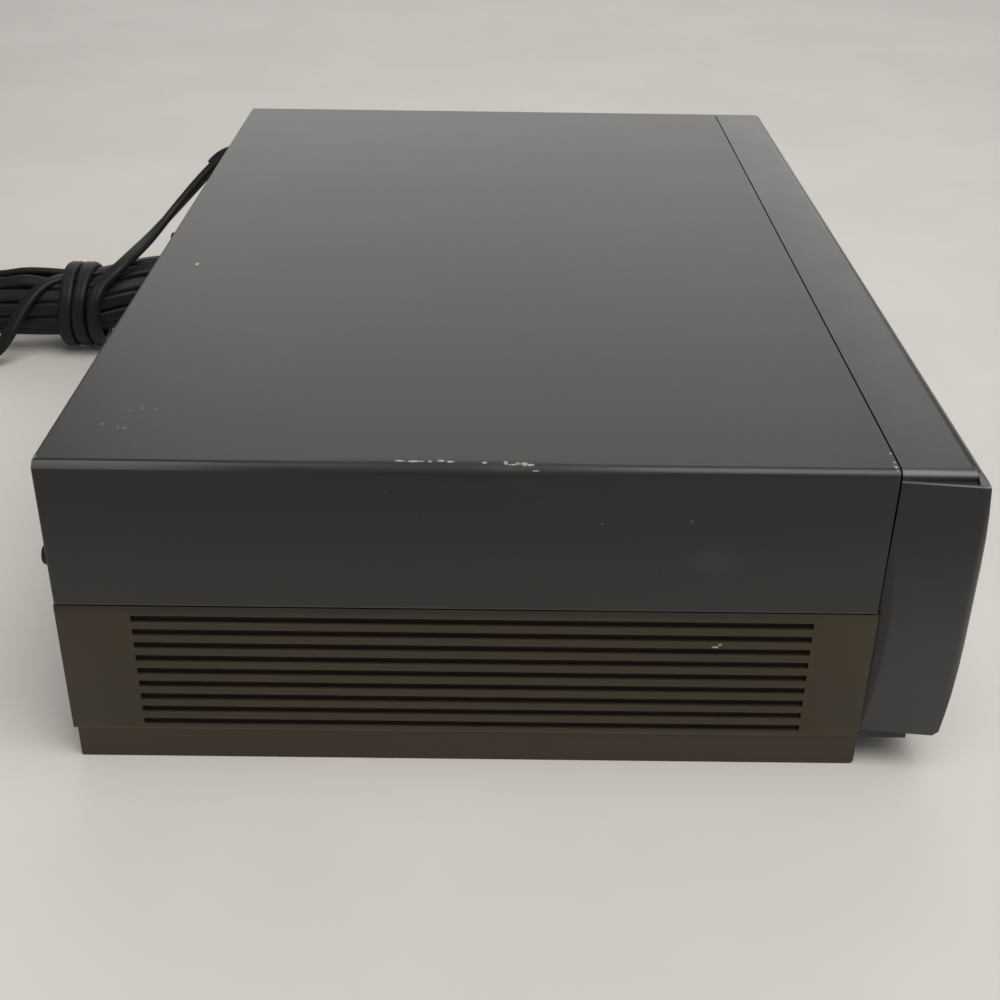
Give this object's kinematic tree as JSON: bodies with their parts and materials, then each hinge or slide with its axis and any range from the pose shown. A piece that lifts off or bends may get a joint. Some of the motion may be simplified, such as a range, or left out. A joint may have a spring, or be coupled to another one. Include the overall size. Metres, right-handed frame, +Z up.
{
  "type": "vhs video cassette recorder",
  "caption": "Front-loading video cassette recorder with a folded steel cover on a louvred plastic base, a tape deck inside and a mains cord in a hank.",
  "frame": {"origin": "bottom centre of the machine without its mains cord", "axes": "+X to the right as seen from the front, the front faces -Y, +Z up"},
  "size_m": [0.3648, 0.452, 0.094],
  "materials": {
    "cover_steel": "satin grey-brown paint",
    "base_plastic": "dark brown, finely grained",
    "bezel_plastic": "dark grey, finely grained",
    "zinc_steel": "zinc plated",
    "smoked_plastic": "smoked, glossy",
    "button_plastic": "fine grain",
    "board": "printed circuit board",
    "black_plastic": "black",
    "bright_metal": "nickel plated",
    "aluminium": "machined",
    "steel": "plain",
    "white_plastic": "acetal",
    "rubber": "black rubber",
    "cord": "black flexible vinyl"
  },
  "bodies": {
    "case": {"top_cover": "cover_steel", "base_frame": "base_plastic", "bottom_plate": "zinc_steel", "case_screws": "zinc_steel", "front_bezel": "bezel_plastic", "display_window": "smoked_plastic", "front_board": "board", "switch_board": "board", "display_module": "smoked_plastic", "door_spring": "steel", "rear_panel": "zinc_steel", "tuner_block": "zinc_steel", "antenna_sockets": "bright_metal", "av_sockets": "black_plastic", "main_board": "board", "board_chips": "black_plastic", "board_capacitors": "black_plastic", "transformer": "steel", "heat_sink": "aluminium", "fuse": "bright_metal", "ribbon_cable": "white_plastic", "deck_plate": "zinc_steel", "lower_drum": "aluminium", "capstan_motor": "zinc_steel", "erase_head": "steel", "audio_head": "steel", "loading_motor": "steel", "carriage_frame": "zinc_steel", "drive_belt": "rubber", "strain_relief": "cord", "power_cord": "cord", "cord_hank": "cord", "power_plug": "cord"},
    "cassette_door_body": {"cassette_door": "bezel_plastic"},
    "upper_drum_body": {"upper_drum": "aluminium"},
    "capstan_flywheel_body": {"capstan_flywheel": "steel"},
    "drive_pulley_body": {"drive_pulley": "black_plastic"},
    "supply_reel_body": {"supply_reel": "black_plastic"},
    "takeup_reel_body": {"takeup_reel": "black_plastic"},
    "idler_arm_body": {"idler_arm": "steel"},
    "idler_wheel_body": {"idler_wheel": "rubber"},
    "supply_guide_body": {"supply_guide": "steel"},
    "takeup_guide_body": {"takeup_guide": "steel"},
    "pinch_arm_body": {"pinch_arm": "steel"},
    "pinch_roller_body": {"pinch_roller": "rubber"},
    "tension_arm_body": {"tension_arm": "steel"},
    "cam_gear_body": {"cam_gear": "white_plastic"},
    "worm_body": {"worm": "white_plastic"},
    "holder_slider_body": {"holder_slider": "zinc_steel"},
    "cassette_holder_body": {"cassette_holder": "zinc_steel"},
    "power_button_body": {"power_button": "button_plastic"},
    "eject_button_body": {"eject_button": "button_plastic"},
    "rewind_button_body": {"rewind_button": "button_plastic"},
    "play_button_body": {"play_button": "button_plastic"},
    "fast_forward_button_body": {"fast_forward_button": "button_plastic"},
    "stop_button_body": {"stop_button": "button_plastic"},
    "record_button_body": {"record_button": "button_plastic"},
    "channel_down_button_body": {"channel_down_button": "button_plastic"},
    "channel_up_button_body": {"channel_up_button": "button_plastic"}
  },
  "joints": [
    {"name": "door_hinge", "type": "hinge", "parent": "case", "child": "cassette_door_body", "pos_m": [-0.056, -0.1192, 0.08545], "axis": [1, 0, 0], "range_deg": [0, 85], "stiffness_Nm_per_rad": 0.004, "springref_deg": -34.38},
    {"name": "power_button_press", "type": "slide", "parent": "case", "child": "power_button_body", "axis": [0, 1, 0], "range_m": [0, 0.0008], "stiffness_N_per_m": 300},
    {"name": "eject_button_press", "type": "slide", "parent": "case", "child": "eject_button_body", "axis": [0, 1, 0], "range_m": [0, 0.0008], "stiffness_N_per_m": 300},
    {"name": "rewind_button_press", "type": "slide", "parent": "case", "child": "rewind_button_body", "axis": [0, 1, 0], "range_m": [0, 0.0008], "stiffness_N_per_m": 300},
    {"name": "play_button_press", "type": "slide", "parent": "case", "child": "play_button_body", "axis": [0, 1, 0], "range_m": [0, 0.0008], "stiffness_N_per_m": 300},
    {"name": "fast_forward_button_press", "type": "slide", "parent": "case", "child": "fast_forward_button_body", "axis": [0, 1, 0], "range_m": [0, 0.0008], "stiffness_N_per_m": 300},
    {"name": "stop_button_press", "type": "slide", "parent": "case", "child": "stop_button_body", "axis": [0, 1, 0], "range_m": [0, 0.0008], "stiffness_N_per_m": 300},
    {"name": "record_button_press", "type": "slide", "parent": "case", "child": "record_button_body", "axis": [0, 1, 0], "range_m": [0, 0.0008], "stiffness_N_per_m": 300},
    {"name": "channel_down_button_press", "type": "slide", "parent": "case", "child": "channel_down_button_body", "axis": [0, 1, 0], "range_m": [0, 0.0008], "stiffness_N_per_m": 300},
    {"name": "channel_up_button_press", "type": "slide", "parent": "case", "child": "channel_up_button_body", "axis": [0, 1, 0], "range_m": [0, 0.0008], "stiffness_N_per_m": 300},
    {"name": "drum_spin", "type": "hinge", "parent": "case", "child": "upper_drum_body", "pos_m": [-0.056, 0.062, 0.03405], "axis": [0.1028, 0, 0.9947], "continuous": true},
    {"name": "capstan_spin", "type": "hinge", "parent": "case", "child": "capstan_flywheel_body", "pos_m": [0.008, 0.02, 0.03405], "axis": [0, 0, 1], "continuous": true},
    {"name": "pulley_spin", "type": "hinge", "parent": "case", "child": "drive_pulley_body", "pos_m": [-0.056, -0.022, 0.03255], "axis": [0, 0, 1], "continuous": true},
    {"name": "supply_reel_spin", "type": "hinge", "parent": "case", "child": "supply_reel_body", "pos_m": [-0.102, -0.05, 0.03405], "axis": [0, 0, 1], "continuous": true},
    {"name": "takeup_reel_spin", "type": "hinge", "parent": "case", "child": "takeup_reel_body", "pos_m": [-0.01, -0.05, 0.03405], "axis": [0, 0, 1], "continuous": true},
    {"name": "idler_swing", "type": "hinge", "parent": "case", "child": "idler_arm_body", "pos_m": [-0.056, -0.022, 0.03405], "axis": [0, 0, 1], "range_deg": [-5, 5]},
    {"name": "idler_spin", "type": "hinge", "parent": "idler_arm_body", "child": "idler_wheel_body", "pos_m": [-0.056, -0.048, 0.03405], "axis": [0, 0, 1], "continuous": true},
    {"name": "cam_turn", "type": "hinge", "parent": "case", "child": "cam_gear_body", "pos_m": [0.02, 0.057, 0.03405], "axis": [0, 0, 1], "range_deg": [0, 200]},
    {"name": "supply_guide_slide", "type": "slide", "parent": "case", "child": "supply_guide_body", "axis": [-0.1644, 0.9864, 0], "range_m": [0, 0.06691]},
    {"name": "takeup_guide_slide", "type": "slide", "parent": "case", "child": "takeup_guide_body", "axis": [0.1644, 0.9864, 0], "range_m": [0, 0.06691]},
    {"name": "pinch_swing", "type": "hinge", "parent": "case", "child": "pinch_arm_body", "pos_m": [0.032, 0.031, 0.03405], "axis": [0, 0, 1], "range_deg": [-21.5, 0]},
    {"name": "pinch_spin", "type": "hinge", "parent": "pinch_arm_body", "child": "pinch_roller_body", "pos_m": [0.024, 0.0095, 0.03405], "axis": [0, 0, 1], "continuous": true},
    {"name": "tension_swing", "type": "hinge", "parent": "case", "child": "tension_arm_body", "pos_m": [-0.138, 0.022, 0.03405], "axis": [0, 0, 1], "range_deg": [0, 25], "stiffness_Nm_per_rad": 0.004},
    {"name": "worm_spin", "type": "hinge", "parent": "case", "child": "worm_body", "pos_m": [0.0458, 0.057, 0.04555], "axis": [0, 1, 0], "range_deg": [0, 7200]},
    {"name": "holder_slide", "type": "slide", "parent": "case", "child": "holder_slider_body", "axis": [0, 1, 0], "range_m": [0, 0.048]},
    {"name": "holder_lift", "type": "slide", "parent": "holder_slider_body", "child": "cassette_holder_body", "axis": [0, 0, 1], "range_m": [-0.017, 0]}
  ],
  "couplings": [
    {"joint": "supply_guide_slide", "follows": "cam_turn", "m_per_rad": 0.019168},
    {"joint": "takeup_guide_slide", "follows": "cam_turn", "m_per_rad": 0.019168},
    {"joint": "pinch_swing", "follows": "cam_turn", "ratio": -0.1075},
    {"joint": "worm_spin", "follows": "cam_turn", "ratio": 36},
    {"joint": "pulley_spin", "follows": "capstan_spin", "ratio": 2.6129}
  ]
}
